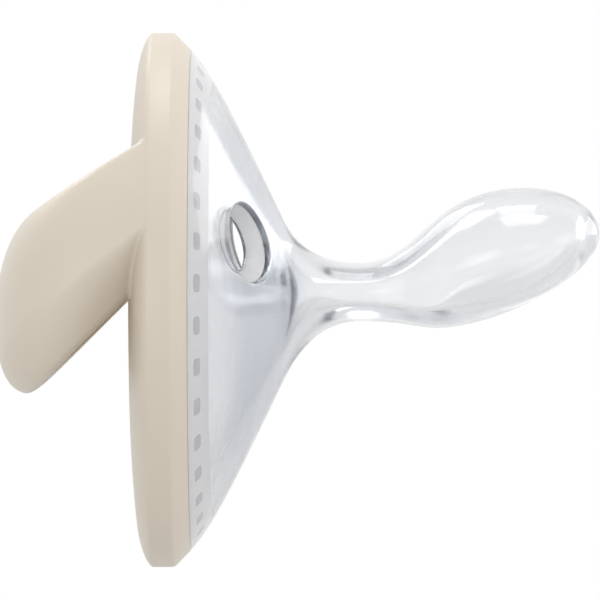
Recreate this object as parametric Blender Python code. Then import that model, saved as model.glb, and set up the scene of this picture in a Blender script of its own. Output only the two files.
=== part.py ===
"""A soother: a rigid front shell with a loop handle, a milky anchor ring that snaps into its back, and one
silicone moulding of collar, skirt, neck and teat that grips the ring's flange.

Metres. +X runs along the axis from the shell to the teat, and +Z is up. Every profile is drawn with x = 0
at the middle of the shell's front face, and the empty that carries the pieces sets that face in the world.
"""

import math

import bmesh
import bpy
import numpy as np
from mathutils import Vector
from mathutils.geometry import interpolate_bezier

MM = 0.001

# Clearance between pieces that seat on each other
GAP = 0.25 * MM

# Front shell: a domed face with a rounded edge, a flat rim and a chamfer that leads into the skirt
SHIELD_RADIUS = 21.5 * MM
FACE_DROP = 1.1 * MM
DOME_POWER = 4
EDGE_DROP = 0.75 * MM
EDGE_RUN = 3.0 * MM
FACE_THICKNESS = 1.8 * MM
RIM_FLAT = 1.7 * MM
CHAMFER_RUN = 1.3 * MM
CHAMFER_FALL = 1.35 * MM
SNAP_HALF_WIDTH = 0.6 * MM
SNAP_DEPTH = 0.45 * MM
SHELL_VENT_DIAMETER = 6.0 * MM
LAND_TOP = 8.4 * MM
LAND_BOTTOM = 18.5 * MM

# Loop handle: root heights on the face, and its outline in the middle plane (lip, belly and toe). Its flanks
# are flush with the rim, curl in along the lower edge, and are pinched in at the lower half of the root
ROOT_TOP = 12.0 * MM
ROOT_BOTTOM = 0.3 * MM
LIP_REACH = 7.4 * MM
LIP_HEIGHT = 7.2 * MM
LIP_PULL = 2.2 * MM
HANDLE_REACH = 10.55 * MM
BELLY_HEIGHT = -1.5 * MM
BELLY_PULL_UP = 4.5 * MM
BELLY_PULL_DOWN = 3.8 * MM
TOE_REACH = 7.7 * MM
TOE_HEIGHT = -7.4 * MM
TOE_PULL = 2.0 * MM
FOOT_WIDTH = 37.0 * MM
FLANK_INSET = 0.15 * MM
CURL_START = 0.5
CURL_POWER = 1.6
PINCH_START = 0.35
PINCH_END = 1.0
PINCH_DEPTH = 2.4 * MM
PINCH_REACH = 0.5
HANDLE_WALL = 2.0 * MM
HANDLE_EDGE_ROUND = 0.6 * MM
HANDLE_ROOT_DEPTH = 0.7 * MM
LOOP_SQUARENESS = 4.0

# Anchor ring: a hub with a web across it in the shell, and a flange with windows inside the silicone
HUB_WALL = 0.6 * MM
WEB_THICKNESS = 0.8 * MM
WEB_VENT_DIAMETER = 7.0 * MM
COVER = 0.55 * MM
FLANGE_THICKNESS = 0.6 * MM
FLANGE_REACH = 1.8 * MM
INNER_COVER = 0.6 * MM
WINDOW_COUNT = 36
WINDOW_LENGTH = 1.4 * MM
WINDOW_WIDTH = 0.7 * MM

# Skirt: a cone with two vents
CONE_ANGLE = math.radians(64.6)
SKIRT_DEPTH = 7.55 * MM
SKIRT_PULL = 2.6 * MM
CONE_PULL = 8.2 * MM
CONE_WALL = 1.7 * MM
VENT_DIAMETER = 6.4 * MM
VENT_SPACING = 21.6 * MM
VENT_HEIGHT = 4.65 * MM

# Neck and teat: lengths along the axis from the end of the cone, and heights over the axis
FLARE_RADIUS = 6.3 * MM
FLARE_LENGTH = 6.1 * MM
NECK_TOP = 3.0 * MM
NECK_BOTTOM = -1.7 * MM
NECK_WIDTH = 8.4 * MM
NECK_WALL = 1.2 * MM
TEAT_LENGTH = 19.3 * MM
CREST_FROM_NECK = 13.4 * MM
CREST_HEIGHT = 9.05 * MM
KEEL_FROM_NECK = 6.25 * MM
KEEL_HEIGHT = -2.25 * MM
WIDEST_FROM_NECK = 12.2 * MM
BULB_WIDTH = 14.4 * MM
TIP_HEIGHT = 5.3 * MM
BULB_WALL = 1.9 * MM

# Pulls of the silicone's outlines: at the flare and into the neck, and then, for each outline, out of the
# neck, into and out of its highest or widest place, and into the tip
FLARE_PULL = 2.2 * MM
NECK_PULL = 3.3 * MM
TOP_PULLS = np.array((5.0, 8.2, 3.3, 2.0)) * MM
BOTTOM_PULLS = np.array((3.4, 1.8, 4.5, 3.4)) * MM
SIDE_PULLS = np.array((4.5, 6.5, 4.2, 4.0)) * MM

# Facets round the axis, and steps along the profiles
SHELL_FACETS = 72
RING_FACETS = 72
TEAT_FACETS = 48
VENT_FACETS = 32
CURVE_SAMPLES = 60
DOME_STEPS = 6
EDGE_STEPS = 7
HANDLE_SKIN_POINTS = 13
HANDLE_RINGS = 33
FLANGE_POINTS = 3
SKIRT_STEPS = 6
FLARE_STEPS = 7
BULB_STEPS = 8
TIP_STEPS = 8
SLOT_CORNER_STEP = 45
SHARP_ANGLE = math.radians(35)

# Stations that follow from the sizes above
RIM_FRONT_X = FACE_DROP + EDGE_DROP
RIM_BACK_X = RIM_FRONT_X + RIM_FLAT
SEAM_X = RIM_BACK_X + CHAMFER_RUN
SEAM_RADIUS = SHIELD_RADIUS - CHAMFER_FALL
SNAP_X = (FACE_THICKNESS + SEAM_X) / 2
COLLAR_X = SEAM_X + GAP
FLANGE_END_X = SEAM_X + FLANGE_REACH
CONE_X = SEAM_X + SKIRT_DEPTH
NECK_X = CONE_X + FLARE_LENGTH
TIP_X = NECK_X + TEAT_LENGTH
FACE_X = (HANDLE_REACH - TIP_X) / 2
FLANGE_OUTER_DEPTH = COVER + GAP
FLANGE_INNER_DEPTH = FLANGE_OUTER_DEPTH + FLANGE_THICKNESS
GROOVE_DEPTH = FLANGE_INNER_DEPTH + GAP
COLLAR_WALL = GROOVE_DEPTH + INNER_COVER


def new_material(name, colour, roughness, transmission=0.0, ior=1.5):
    material = bpy.data.materials.new(name)
    material.use_nodes = True
    shader = material.node_tree.nodes["Principled BSDF"]
    shader.inputs["Base Color"].default_value = (*colour, 1.0)
    shader.inputs["Roughness"].default_value = roughness
    shader.inputs["Metallic"].default_value = 0.0
    shader.inputs["Transmission Weight"].default_value = transmission
    shader.inputs["IOR"].default_value = ior
    return material


def add_object(name, mesh, carrier, material=None):
    """The mesh as an object on the carrier. With no material it is a helper, left out of the part."""
    obj = bpy.data.objects.new(name, mesh)
    bpy.context.scene.collection.objects.link(obj)
    obj.parent = carrier
    mesh.shade_smooth()
    mesh.set_sharp_from_angle(angle=SHARP_ANGLE)
    if material:
        mesh.materials.append(material)
    else:
        obj.hide_render = True
        obj.display_type = "WIRE"
    return obj


def skin(name, rings, poles=None):
    """A mesh over rings of equal count, each end closed with its pole, or with one face if there are none."""
    mesh = bpy.data.meshes.new(name)
    bm = bmesh.new()
    loops = [[bm.verts.new(point) for point in ring] for ring in rings]
    for near, far in zip(loops, loops[1:]):
        for i in range(len(near)):
            bm.faces.new((near[i - 1], near[i], far[i], far[i - 1]))
    for end, loop in enumerate((loops[0], loops[-1])):
        if poles is None:
            bm.faces.new(loop)
            continue
        pole = bm.verts.new(poles[end])
        for i in range(len(loop)):
            bm.faces.new((loop[i - 1], loop[i], pole))
    bmesh.ops.recalc_face_normals(bm, faces=bm.faces)
    bm.to_mesh(mesh)
    bm.free()
    return mesh


def circles(profile, facets):
    """One ring round the X axis for each (x, radius) of a profile."""
    angles = np.linspace(0, 2 * math.pi, facets, endpoint=False)
    across, up = np.cos(angles), np.sin(angles)
    return [np.column_stack((np.full(facets, x), radius * across, radius * up)) for x, radius in profile]


def boolean(obj, operation, helper):
    modifier = obj.modifiers.new(helper.name, "BOOLEAN")
    modifier.operation = operation
    modifier.object = helper


def vent_mesh(name, diameter, start_x, end_x, y, z):
    ends = [(start_x, diameter / 2), (end_x, diameter / 2)]
    rings = [ring + (0, y, z) for ring in circles(ends, VENT_FACETS)]
    return skin(name, rings, poles=[(start_x, y, z), (end_x, y, z)])


def outline(knots):
    """Points along a curve through knots of (point, direction, pull before, pull after)."""
    points = []
    for (start, heading, _, leaving), (end, arriving, entering, _) in zip(knots, knots[1:]):
        start, end = Vector(start), Vector(end)
        first = start + Vector(heading).normalized() * leaving
        second = end - Vector(arriving).normalized() * entering
        points += interpolate_bezier(start, first, second, end, CURVE_SAMPLES)[bool(points) :]
    return np.array([tuple(point) for point in points])


def inset(curve, depth):
    """The curve moved by depth to the right of its own direction."""
    along = np.gradient(curve, axis=0)
    along /= np.linalg.norm(along, axis=1)[:, None]
    return curve + np.column_stack((along[:, 1], -along[:, 0])) * np.reshape(depth, (-1, 1))


def height_at(curve, x):
    return np.interp(x, curve[:, 0], curve[:, 1])


def face_drop(radius):
    """How far the front face has fallen back at a radius: a flat dome, then the rounded edge."""
    edge = np.clip((radius - SHIELD_RADIUS + EDGE_RUN) / EDGE_RUN, 0, 1)
    return FACE_DROP * (radius / SHIELD_RADIUS) ** DOME_POWER + EDGE_DROP * (1 - np.sqrt(1 - edge**2))


def snap_profile(base_half_width, base_radius, tip_radius):
    """A bead or groove with 45 degree sides, from back to front."""
    tip_half_width = base_half_width - (tip_radius - base_radius)
    return [
        (SNAP_X + base_half_width, base_radius),
        (SNAP_X + tip_half_width, tip_radius),
        (SNAP_X - tip_half_width, tip_radius),
        (SNAP_X - base_half_width, base_radius),
    ]


def hub_radius():
    """Outside of the ring's hub, whose wall stands on the inner face of the flange."""
    inner_face = flange_face(teat_curves()[0], FLANGE_INNER_DEPTH, FLANGE_END_X)
    return inner_face[0][1] + HUB_WALL


def shell_mesh():
    """The turned shell: domed face, rim, chamfer, and the socket with its snap groove behind."""
    socket_radius = hub_radius() + GAP
    dome = np.linspace(0, SHIELD_RADIUS - EDGE_RUN, DOME_STEPS + 1)[1:]
    turn = np.radians(np.linspace(0, 90, EDGE_STEPS + 1)[1:])
    radii = np.concatenate((dome, SHIELD_RADIUS - EDGE_RUN + EDGE_RUN * np.sin(turn)))
    profile = list(zip(face_drop(radii), radii))
    profile += [(RIM_BACK_X, SHIELD_RADIUS), (SEAM_X, SEAM_RADIUS), (SEAM_X, socket_radius)]
    profile += snap_profile(SNAP_HALF_WIDTH, socket_radius, socket_radius + SNAP_DEPTH)
    profile += [(FACE_THICKNESS, socket_radius)]
    return skin("front_shell", circles(profile, SHELL_FACETS), poles=[(0, 0, 0), (FACE_THICKNESS, 0, 0)])


def handle_mesh():
    """The loop: a barrel-shaped band, swept from one side of the face round to the other. Across the band,
    share runs from its upper edge (0) to its lower edge (1), and depth from the outer skin (0) inwards."""
    upper_edge = (-LIP_REACH, LIP_HEIGHT - ROOT_TOP)
    front = outline(
        [
            ((-LIP_REACH, LIP_HEIGHT), upper_edge, 0, LIP_PULL),
            ((-HANDLE_REACH, BELLY_HEIGHT), (0, -1), BELLY_PULL_UP, BELLY_PULL_DOWN),
            ((-TOE_REACH, TOE_HEIGHT), (1, 0), TOE_PULL, 0),
        ]
    )
    rounding = HANDLE_EDGE_ROUND / (LIP_HEIGHT - TOE_HEIGHT)
    skin_shares = np.linspace(rounding, 1 - rounding, HANDLE_SKIN_POINTS)
    share = np.concatenate(([0], skin_shares, [1, 1], skin_shares[::-1], [0]))
    corner = [HANDLE_EDGE_ROUND, HANDLE_WALL - HANDLE_EDGE_ROUND]
    depth = np.concatenate((corner[:1], 0 * skin_shares, corner, 0 * skin_shares + HANDLE_WALL, corner[1:]))

    samples = np.linspace(0, 1, len(front))
    root_height = ROOT_TOP + share * (ROOT_BOTTOM - ROOT_TOP)
    run = np.interp(share, samples, front[:, 0])
    fall = np.interp(share, samples, front[:, 1]) - root_height
    length = np.hypot(run, fall)

    flank_radius = SHIELD_RADIUS - FLANK_INSET
    curl = np.clip((share - CURL_START) / (1 - CURL_START), 0, 1) ** CURL_POWER
    taper = 1 - curl * (1 - FOOT_WIDTH / 2 / flank_radius)
    half_width = np.sqrt(flank_radius**2 - root_height**2) * taper - depth
    low = np.clip((share - PINCH_START) / (PINCH_END - PINCH_START), 0, 1)
    pinch = PINCH_DEPTH * low**2 * (3 - 2 * low)

    rings = []
    for angle in np.radians(np.linspace(-90, 90, HANDLE_RINGS)):
        forward = max(math.cos(angle), 0) ** (2 / LOOP_SQUARENESS)
        side = math.copysign(abs(math.sin(angle)) ** (2 / LOOP_SQUARENESS), angle)
        out = (length - depth) / length * forward
        across = (half_width - pinch * math.exp(-((forward / PINCH_REACH) ** 2))) * side
        rings.append(np.column_stack((run * out, across, root_height + fall * out)))

    root_width = half_width - pinch
    sunk_x = face_drop(np.minimum(np.hypot(root_width, root_height), flank_radius)) + HANDLE_ROOT_DEPTH
    sunk_z = root_height + fall / run * sunk_x
    sunk_y = np.minimum(root_width, np.sqrt(flank_radius**2 - sunk_z**2))
    roots = [np.column_stack((sunk_x, side * sunk_y, sunk_z)) for side in (-1, 1)]
    return skin("handle", [roots[0], *rings, roots[1]])


def land_mesh():
    """A box whose face cuts the flat land on the lower front of the shell."""
    top_drop, bottom_drop = face_drop(LAND_TOP), face_drop(LAND_BOTTOM)
    lean = (bottom_drop - top_drop) / (LAND_BOTTOM - LAND_TOP)
    corners = [(top_drop + lean * (z - LAND_TOP), z) for z in (0, SHIELD_RADIUS)]
    rings = []
    for y in (-SHIELD_RADIUS, SHIELD_RADIUS):
        (upper_x, upper), (lower_x, lower) = corners
        front_x = upper_x - 2 * FACE_THICKNESS
        back_edge = [(upper_x, y, -upper), (lower_x, y, -lower)]
        rings.append([*back_edge, (front_x, y, -lower), (front_x, y, -upper)])
    return skin("land_cutter", rings)


def teat_curves():
    """Top, bottom and side outlines of the silicone as (x, distance from the axis), the bottom mirrored."""
    along, down = (1, 0), (0, -1)
    cone = (math.cos(CONE_ANGLE), -math.sin(CONE_ANGLE))
    seam = ((SEAM_X, SEAM_RADIUS), (CHAMFER_RUN, -CHAMFER_FALL), 0, SKIRT_PULL)

    def curve(neck_distance, far_from_neck, far_distance, tip_distance, pulls):
        leave_neck, enter_far, leave_far, enter_tip = pulls
        return outline(
            [
                seam,
                ((CONE_X, FLARE_RADIUS), cone, CONE_PULL, FLARE_PULL),
                ((NECK_X, neck_distance), along, NECK_PULL, leave_neck),
                ((NECK_X + far_from_neck, far_distance), along, enter_far, leave_far),
                ((TIP_X, tip_distance), down, enter_tip, 0),
            ]
        )

    top = curve(NECK_TOP, CREST_FROM_NECK, CREST_HEIGHT, TIP_HEIGHT, TOP_PULLS)
    bottom = curve(-NECK_BOTTOM, KEEL_FROM_NECK, -KEEL_HEIGHT, -TIP_HEIGHT, BOTTOM_PULLS)
    side = curve(NECK_WIDTH / 2, WIDEST_FROM_NECK, BULB_WIDTH / 2, 0, SIDE_PULLS)
    return top, bottom, side


def wall_at(x):
    """Wall of the silicone under the outside point at x."""
    stations = [FLANGE_END_X + GAP, FLANGE_END_X + COLLAR_WALL, CONE_X, NECK_X, NECK_X + KEEL_FROM_NECK]
    return np.interp(x, stations, [COLLAR_WALL, CONE_WALL, CONE_WALL, NECK_WALL, BULB_WALL])


def ovals(curves, stations):
    """One oval ring at each x, between the top, bottom and side outlines."""
    top, bottom, side = curves
    angles = np.linspace(0, 2 * math.pi, TEAT_FACETS, endpoint=False)
    rings = []
    for x in stations:
        upper, lower, half_width = height_at(top, x), -height_at(bottom, x), height_at(side, x)
        height = (upper + lower) / 2 + (upper - lower) / 2 * np.sin(angles)
        rings.append(np.column_stack((np.full(TEAT_FACETS, x), half_width * np.cos(angles), height)))
    return rings


def flange_face(curve, depth, end_x):
    """(x, radius) along the curve inset by depth, from the collar's front to below the curve at end_x."""
    face = inset(curve, depth)
    stations = np.linspace(COLLAR_X, np.interp(end_x, curve[:, 0], face[:, 0]), FLANGE_POINTS)
    return list(zip(stations, height_at(face, stations)))


def stations_to(tip_x):
    """Ring places from the collar's front to just short of a tip, closer at the neck and near the tip."""
    bulb_x = NECK_X + WIDEST_FROM_NECK
    skirt = np.linspace(COLLAR_X, CONE_X, SKIRT_STEPS + 1)
    flare = np.linspace(CONE_X, NECK_X, FLARE_STEPS + 1)[1:]
    bulb = np.linspace(NECK_X, bulb_x, BULB_STEPS + 1)[1:]
    turn = np.radians(np.linspace(0, 90, TIP_STEPS + 1)[1:-1])
    return np.concatenate((skirt, flare, bulb, bulb_x + (tip_x - bulb_x) * np.sin(turn)))


def silicone_mesh():
    """Collar, skirt, neck and teat as one skin: outside from the tip to the collar, round the groove that
    grips the ring, and back along the inside to the hollow tip."""
    curves = teat_curves()
    hollow = [inset(curve, wall_at(curve[:, 0])) for curve in curves]
    hollow_tip_x = TIP_X - BULB_WALL
    groove_end_x = FLANGE_END_X + GAP
    groove = flange_face(curves[0], COVER, groove_end_x)
    groove += flange_face(curves[0], GROOVE_DEPTH, groove_end_x)[::-1]
    rings = ovals(curves, stations_to(TIP_X)[::-1])
    rings += circles(groove, TEAT_FACETS)
    rings += ovals(hollow, stations_to(hollow_tip_x))
    return skin("silicone_teat", rings, poles=[(TIP_X, 0, TIP_HEIGHT), (hollow_tip_x, 0, TIP_HEIGHT)])


def ring_mesh():
    """The turned ring: hub with its web and snap bead, and the flange that lies in the collar's groove."""
    curve = teat_curves()[0]
    outer_face = flange_face(curve, FLANGE_OUTER_DEPTH, FLANGE_END_X)
    inner_face = flange_face(curve, FLANGE_INNER_DEPTH, FLANGE_END_X)
    radius = hub_radius()
    front_x = FACE_THICKNESS + GAP
    bead_half_width = SNAP_HALF_WIDTH + GAP - GAP * math.sqrt(2)
    web_x = front_x + WEB_THICKNESS
    profile = [(front_x, radius)]
    profile += snap_profile(bead_half_width, radius, radius + SNAP_DEPTH)[::-1]
    profile += [(COLLAR_X, radius), *outer_face, *inner_face[::-1], (web_x, radius - HUB_WALL)]
    return skin("anchor_ring", circles(profile, RING_FACETS), poles=[(front_x, 0, 0), (web_x, 0, 0)])


def windows_mesh():
    """The cutter for the row of windows: a round-ended slot through the flange, repeated round the axis."""
    curve = teat_curves()[0]
    outer_face = flange_face(curve, FLANGE_OUTER_DEPTH, FLANGE_END_X)
    along = Vector(outer_face[-1]) - Vector(outer_face[0])
    along.normalize()
    through = Vector((-along.y, along.x))
    middle = Vector(outer_face[len(outer_face) // 2]) - through * FLANGE_THICKNESS / 2
    end_round = WINDOW_WIDTH / 2
    straight = WINDOW_LENGTH / 2 - end_round
    slot = []
    for angle in np.radians(np.arange(0, 360, SLOT_CORNER_STEP) + SLOT_CORNER_STEP / 2):
        tangent = math.copysign(straight, math.cos(angle)) + end_round * math.cos(angle)
        slot.append((tangent, end_round * math.sin(angle)))

    bm = bmesh.new()
    for turn in np.linspace(0, 2 * math.pi, WINDOW_COUNT, endpoint=False):
        ends = []
        for depth in (-FLANGE_THICKNESS, FLANGE_THICKNESS):
            end = []
            for tangent, meridian in slot:
                x, radius = middle + along * meridian + through * depth
                across = radius * math.cos(turn) - tangent * math.sin(turn)
                up = radius * math.sin(turn) + tangent * math.cos(turn)
                end.append(bm.verts.new((x, across, up)))
            ends.append(end)
        for i in range(len(slot)):
            bm.faces.new((ends[0][i - 1], ends[0][i], ends[1][i], ends[1][i - 1]))
        for end in ends:
            bm.faces.new(end)
    bmesh.ops.recalc_face_normals(bm, faces=bm.faces)
    mesh = bpy.data.meshes.new("window_cutter")
    bm.to_mesh(mesh)
    bm.free()
    return mesh


for old in list(bpy.data.objects):
    bpy.data.objects.remove(old, do_unlink=True)

carrier = bpy.data.objects.new("shield_axis", None)
bpy.context.scene.collection.objects.link(carrier)
carrier.location = (FACE_X, 0, 0)

beige = new_material("beige_polypropylene", (0.68, 0.61, 0.52), 0.42)
milky = new_material("milky_polypropylene", (0.93, 0.935, 0.945), 0.35)
silicone = new_material("clear_silicone", (0.8, 0.82, 0.85), 0.1, transmission=1.0, ior=1.41)

shell = add_object("front_shell", shell_mesh(), carrier, beige)
boolean(shell, "DIFFERENCE", add_object("land_cutter", land_mesh(), carrier))
boolean(shell, "UNION", add_object("handle", handle_mesh(), carrier))

ring = add_object("anchor_ring", ring_mesh(), carrier, milky)
boolean(ring, "DIFFERENCE", add_object("window_cutter", windows_mesh(), carrier))

teat = add_object("silicone_teat", silicone_mesh(), carrier, silicone)

for side_name, side in (("left", -1), ("right", 1)):
    place = (side * VENT_SPACING / 2, VENT_HEIGHT)
    cuts = (
        (shell, "shell_vent", SHELL_VENT_DIAMETER, -FACE_THICKNESS, 2 * FACE_THICKNESS),
        (ring, "web_vent", WEB_VENT_DIAMETER, FACE_THICKNESS, SEAM_X),
        (teat, "skirt_vent", VENT_DIAMETER, SEAM_X, CONE_X),
    )
    for obj, kind, *cut in cuts:
        cutter = vent_mesh(f"{side_name}_{kind}", *cut, *place)
        boolean(obj, "DIFFERENCE", add_object(cutter.name, cutter, carrier))
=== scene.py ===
"""A soother in side view: a beige shell with a loop handle, a milky anchor ring, and a clear silicone teat.

Metres. +X runs along the shield's axis towards the teat, +Z is up, and the camera looks along +Y.
"""

import math

import bmesh
import bpy
import numpy as np
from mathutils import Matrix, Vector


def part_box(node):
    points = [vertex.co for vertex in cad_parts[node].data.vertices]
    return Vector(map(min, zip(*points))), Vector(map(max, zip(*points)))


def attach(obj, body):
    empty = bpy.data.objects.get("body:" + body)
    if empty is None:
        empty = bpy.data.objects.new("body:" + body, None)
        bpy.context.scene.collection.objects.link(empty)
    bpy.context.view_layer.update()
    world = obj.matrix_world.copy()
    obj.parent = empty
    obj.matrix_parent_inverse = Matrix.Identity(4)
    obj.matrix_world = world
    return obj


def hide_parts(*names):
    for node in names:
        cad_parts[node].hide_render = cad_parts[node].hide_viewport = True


MM = 0.001
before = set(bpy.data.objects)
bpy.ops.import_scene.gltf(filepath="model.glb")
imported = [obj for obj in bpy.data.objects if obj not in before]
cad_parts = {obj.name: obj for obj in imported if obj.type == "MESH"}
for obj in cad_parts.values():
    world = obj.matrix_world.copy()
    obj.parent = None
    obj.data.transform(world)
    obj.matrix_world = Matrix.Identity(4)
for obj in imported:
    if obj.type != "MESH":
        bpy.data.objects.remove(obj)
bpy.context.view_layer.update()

# The camera looks at the side of the shield, a touch from above, and from far enough away that the outline
# hardly narrows. Its lens gives the object its size in a square picture.
CAMERA_DISTANCE = 0.5
CAMERA_ELEVATION = math.radians(1.0)
CAMERA_SENSOR = 36
CAMERA_CLIP_START = 0.01
PIXELS_PER_METRE = 12407
FRAME_PIXELS = 600
camera = bpy.data.objects.new("camera", bpy.data.cameras.new("camera"))
bpy.context.scene.collection.objects.link(camera)
bpy.context.scene.camera = camera
camera.data.sensor_width = CAMERA_SENSOR
camera.data.lens = CAMERA_SENSOR * PIXELS_PER_METRE * CAMERA_DISTANCE / FRAME_PIXELS
camera.data.clip_start = CAMERA_CLIP_START
camera.location = (
    0,
    -CAMERA_DISTANCE * math.cos(CAMERA_ELEVATION),
    CAMERA_DISTANCE * math.sin(CAMERA_ELEVATION),
)
camera.rotation_euler = (math.radians(90) - CAMERA_ELEVATION, 0, 0)

# The front shell is moulded in beige polypropylene: a domed round face, its rim, and the chamfer that the
# silicone carries on from. The mould gives it a fine satin finish, so its highlights are soft. Two vents
# pierce the face, and its back is a socket with a groove that the ring snaps into.
_, shell_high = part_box("front_shell")
seam_x = shell_high.x
shield_radius = shell_high.z
SEAM_BEHIND_FACE = 4.85 * MM
FACE_DROP = 1.1 * MM
EDGE_DROP = 0.75 * MM
EDGE_RUN = 3.0 * MM
FACE_THICKNESS = 1.8 * MM
RIM_FLAT = 1.7 * MM
RIM_ROUND = 0.22 * MM
CHAMFER_RUN = 1.3 * MM
CHAMFER_FALL = 1.35 * MM
SEAM_ROUND = 0.06 * MM
SOCKET_RADIUS = 18.36 * MM
SNAP_HALF_WIDTH = 0.6 * MM
SNAP_DEPTH = 0.45 * MM
LAND_TOP = 8.4 * MM
LAND_BOTTOM = 18.5 * MM
LAND_BLEND = 0.02 * MM
VENT_PLACES = np.array(((-10.8, 4.65), (10.8, 4.65))) * MM
SHELL_VENT_RADIUS = 3.0 * MM
SHELL_VENT_ROUND = 0.35 * MM
SHELL_VENT_REACH = 3.6 * MM
VENT_SPREAD_RINGS = 16
VENT_ROLL_STEPS = 8
VENT_TUNNEL_RINGS = 8
SHELL_COLUMNS = 288
FACE_RINGS = 62
EDGE_STEPS = 17
CORNER_POINTS = 5
LEAST_RING_STEP = 0.1 * MM
SHELL_SHARP_ANGLE = 40
WELD_DISTANCE = 0.004 * MM
ALL_CELLS = slice(None)
FLOW_DETAIL = 3
GRAIN_DETAIL = 2
NOISE_MIDDLE = 0.5
SHELL_COLOUR = (0.648, 0.576, 0.482)
SHELL_RELIEF = 0.006 * MM
SHELL_FINISH = {
    "Mottle": 0.05,
    "Roughness": 0.4,
    "Patchiness": 0.15,
    "Flow Scale": 130,
    "Grain Scale": 5200,
    "Grain Share": 1,
}
face_x = seam_x - SEAM_BEHIND_FACE


def round_angles(columns):
    """Bearings round the axis, from straight down and counted from +Y towards +Z."""
    return np.linspace(-math.pi / 2, 3 * math.pi / 2, columns, endpoint=False)


def turned(profile, angles):
    """A sheet turned round the axis: each (x, radius) of the profile becomes a ring."""
    x, radius = np.transpose(profile)[:, :, None]
    return np.stack((x + 0 * angles, radius * np.cos(angles), radius * np.sin(angles)), -1)


def sheet_faces(points, keep):
    """Quads between the rows and columns of a sheet, whose last column joins the first. keep picks cells."""
    rows, columns = points.shape[:2]
    row = np.arange(rows - 1)[:, None] * columns
    column = np.arange(columns)[None, :]
    after = (column + 1) % columns
    faces = np.stack((row + column, row + after, row + columns + after, row + columns + column), -1)
    return faces[keep].reshape(-1, 4)


def welded_piece(name, sheets, material, sharp_angle, lining=(), lining_material=None):
    """One object from sheets of (points, cells kept), welded where their edges meet. The sheets of the lining
    may have a material of their own. Edges sharper than sharp_angle, in degrees, are shaded as corners."""
    sheets = [*sheets, *lining]
    points = [sheet[0].reshape(-1, 3) for sheet in sheets]
    starts = np.cumsum([0] + [len(block) for block in points])
    faces = [sheet_faces(*sheet) + start for sheet, start in zip(sheets, starts)]
    in_lining = np.arange(len(sheets)) >= len(sheets) - len(lining)
    material_index = np.repeat(in_lining, [len(block) for block in faces]).astype(np.int32)
    mesh = bpy.data.meshes.new(name)
    mesh.from_pydata(np.concatenate(points).tolist(), [], np.concatenate(faces).tolist())
    mesh.polygons.foreach_set("material_index", material_index)
    weld = bmesh.new()
    weld.from_mesh(mesh)
    bmesh.ops.remove_doubles(weld, verts=weld.verts, dist=WELD_DISTANCE)
    bmesh.ops.recalc_face_normals(weld, faces=weld.faces)
    weld.to_mesh(mesh)
    weld.free()
    mesh.shade_smooth()
    mesh.set_sharp_from_angle(angle=math.radians(sharp_angle))
    mesh.materials.append(material)
    if lining_material:
        mesh.materials.append(lining_material)
    piece = bpy.data.objects.new(name, mesh)
    bpy.context.scene.collection.objects.link(piece)
    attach(piece, "root")
    return piece


def pierced_sheets(radii, angles, height, roll, hole_radius, hole_round, reach):
    """The sheet x = height(y, z) over a polar grid, pierced along x by the two vents. Round each vent a
    window of the grid is left out as far as reach, and rings pass from its edge to the vent's circle. There
    they roll over towards roll, +1 or -1 along x, on a quarter round. Returns the sheets and each vent's
    last ring."""
    y, z = radii[:, None] * np.cos(angles), radii[:, None] * np.sin(angles)
    keep = np.ones((len(radii) - 1, len(angles)), bool)
    sheets, edges = [(np.stack((height(y, z), y, z), -1), keep)], []
    share = np.linspace(0, 1, VENT_SPREAD_RINGS)[:, None, None]
    turn = np.linspace(0, math.pi / 2, VENT_ROLL_STEPS + 1)[1:, None, None]
    for centre in VENT_PLACES:
        radius, bearing = np.hypot(*centre), np.arctan2(centre[1], centre[0])
        low, high = np.searchsorted(radii, (radius - reach, radius + reach))
        left, right = np.searchsorted(angles, (bearing - reach / radius, bearing + reach / radius))
        keep[low:high, left:right] = False
        out, across = np.arange(low, high), np.arange(left, right)
        row = np.concatenate((0 * across + low, out, 0 * across + high, out[::-1] + 1))
        column = np.concatenate((across, 0 * out + right, across[::-1] + 1, 0 * out + left))
        window = np.stack((y[row, column], z[row, column]), -1)
        spoke = window - centre
        spoke /= np.linalg.norm(spoke, axis=1)[:, None]
        spread = window + share * (centre + (hole_radius + hole_round) * spoke - window)
        rim = centre + (hole_radius + hole_round * (1 - np.sin(turn))) * spoke
        foot = np.concatenate((spread, rim))
        drop = np.concatenate((0 * share, hole_round * (1 - np.cos(turn))))[..., 0]
        x = height(foot[..., 0], foot[..., 1]) + roll * drop
        rings = np.dstack((x, foot))
        sheets.append((rings, ALL_CELLS))
        edges.append(rings[-1])
    return sheets, edges


def vent_tunnels(front_edges, back_edges):
    """The straight walls of the vents, from the edges in one pierced sheet to those in another."""
    share = np.linspace(0, 1, VENT_TUNNEL_RINGS)[:, None, None]
    return [(front + share * (back - front), ALL_CELLS) for front, back in zip(front_edges, back_edges)]


def face_height(y, z):
    """The front face: a dome that falls with the fourth power of the radius, an edge that rolls over on an
    ellipse, and a flat land below the handle, blended in where its plane lies behind the dome."""
    radius = np.hypot(y, z)
    edge = np.clip((radius - shield_radius + EDGE_RUN) / EDGE_RUN, 0, 1)
    fall = FACE_DROP * (radius / shield_radius) ** 4
    land_top, land_bottom = FACE_DROP * (np.array((LAND_TOP, LAND_BOTTOM)) / shield_radius) ** 4
    land = land_top + (land_bottom - land_top) * (-z - LAND_TOP) / (LAND_BOTTOM - LAND_TOP)
    fall = (fall + land + np.sqrt((fall - land) ** 2 + LAND_BLEND**2)) / 2
    return face_x + fall + EDGE_DROP * (1 - np.sqrt(1 - edge**2))


def socket_floor(y, z):
    """The floor of the socket: a plane that lies behind the middle of the face by the face's thickness."""
    return face_x + FACE_THICKNESS + 0 * y


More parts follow.
